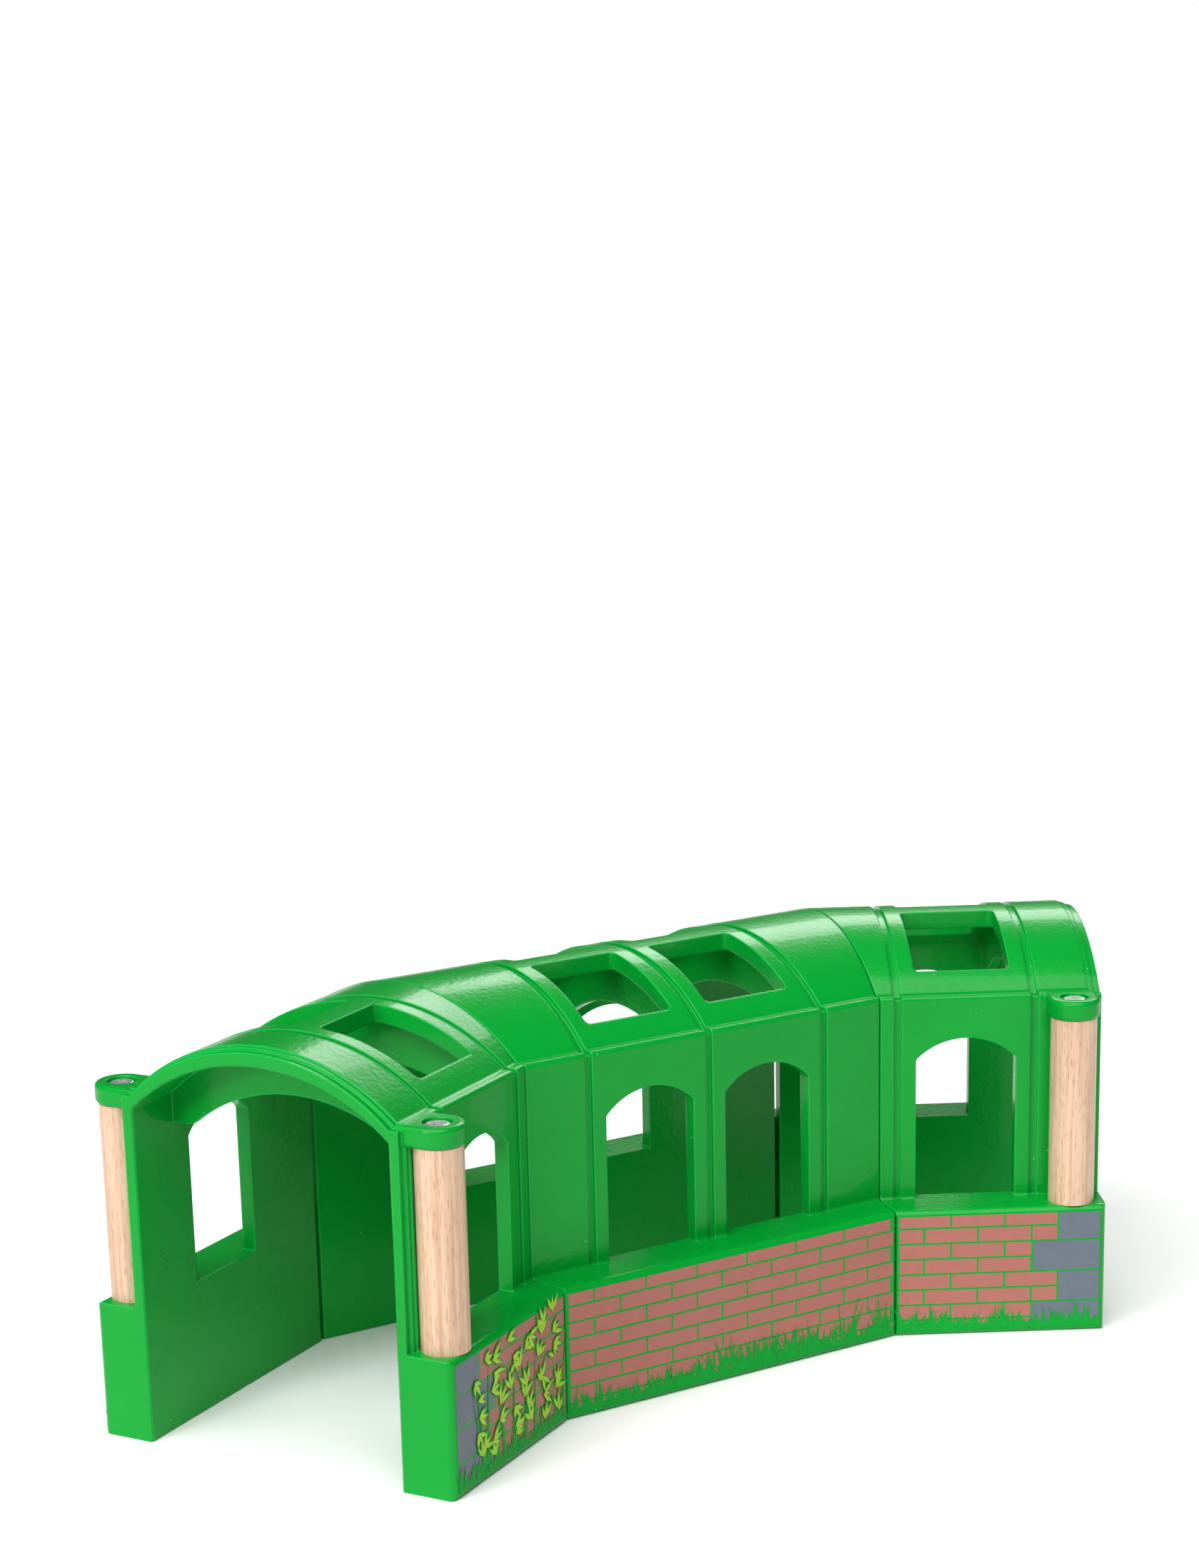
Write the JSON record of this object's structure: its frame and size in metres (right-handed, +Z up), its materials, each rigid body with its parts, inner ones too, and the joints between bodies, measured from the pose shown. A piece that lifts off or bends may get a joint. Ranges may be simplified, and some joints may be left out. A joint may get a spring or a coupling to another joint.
{
  "type": "toy railway tunnel",
  "caption": "Bendable toy railway tunnel: a windowed, skylit vault on plinths in hinged lengths, with dowel columns at the mouths.",
  "frame": {"origin": "centre of the overall plan, at the level the tunnel stands on, in the closed bend", "axes": "+X runs along the middle section towards the rear section, -Y is the inside of the bend, +Z is up"},
  "size_m": [0.2986, 0.1284, 0.1046],
  "materials": {
    "green_plastic": "deep green gloss, lightly pebbled",
    "beech": "clear-varnished straight-grained beech",
    "bright_steel": "bright plated",
    "pin_steel": "drawn steel",
    "white_nylon": "natural nylon",
    "green_plate": "green, satin",
    "magnet_nickel": "nickel plated"
  },
  "bodies": {
    "middle_section": {"middle_shell": "green_plastic", "rear_hinge_pin": "pin_steel", "rear_hinge_lower_washer": "white_nylon", "rear_hinge_upper_washer": "white_nylon", "front_hinge_pin": "pin_steel", "front_hinge_lower_washer": "white_nylon", "front_hinge_upper_washer": "white_nylon", "middle_near_plate": "green_plate", "middle_near_plate_screws": "bright_steel", "middle_far_plate": "green_plate", "middle_far_plate_screws": "bright_steel", "middle_rear_magnet": "magnet_nickel", "middle_front_magnet": "magnet_nickel"},
    "front_section": {"front_shell": "green_plastic", "front_near_column": "beech", "front_near_column_top_screw": "bright_steel", "front_near_column_foot_screw": "bright_steel", "front_far_column": "beech", "front_far_column_top_screw": "bright_steel", "front_far_column_foot_screw": "bright_steel", "front_near_plate": "green_plate", "front_near_plate_screws": "bright_steel", "front_far_plate": "green_plate", "front_far_plate_screws": "bright_steel", "front_magnet": "magnet_nickel"},
    "rear_section": {"rear_shell": "green_plastic", "rear_near_column": "beech", "rear_near_column_top_screw": "bright_steel", "rear_near_column_foot_screw": "bright_steel", "rear_far_column": "beech", "rear_far_column_top_screw": "bright_steel", "rear_far_column_foot_screw": "bright_steel", "rear_near_plate": "green_plate", "rear_near_plate_screws": "bright_steel", "rear_far_plate": "green_plate", "rear_far_plate_screws": "bright_steel", "rear_magnet": "magnet_nickel"}
  },
  "joints": [
    {"name": "rear_bend", "type": "hinge", "parent": "middle_section", "child": "rear_section", "pos_m": [0.07669, 0.05787, 0.0173], "axis": [0, 0, 1], "range_deg": [0, 30]},
    {"name": "front_bend", "type": "hinge", "parent": "middle_section", "child": "front_section", "pos_m": [-0.07669, 0.05787, 0.0173], "axis": [0, 0, -1], "range_deg": [0, 30]}
  ]
}
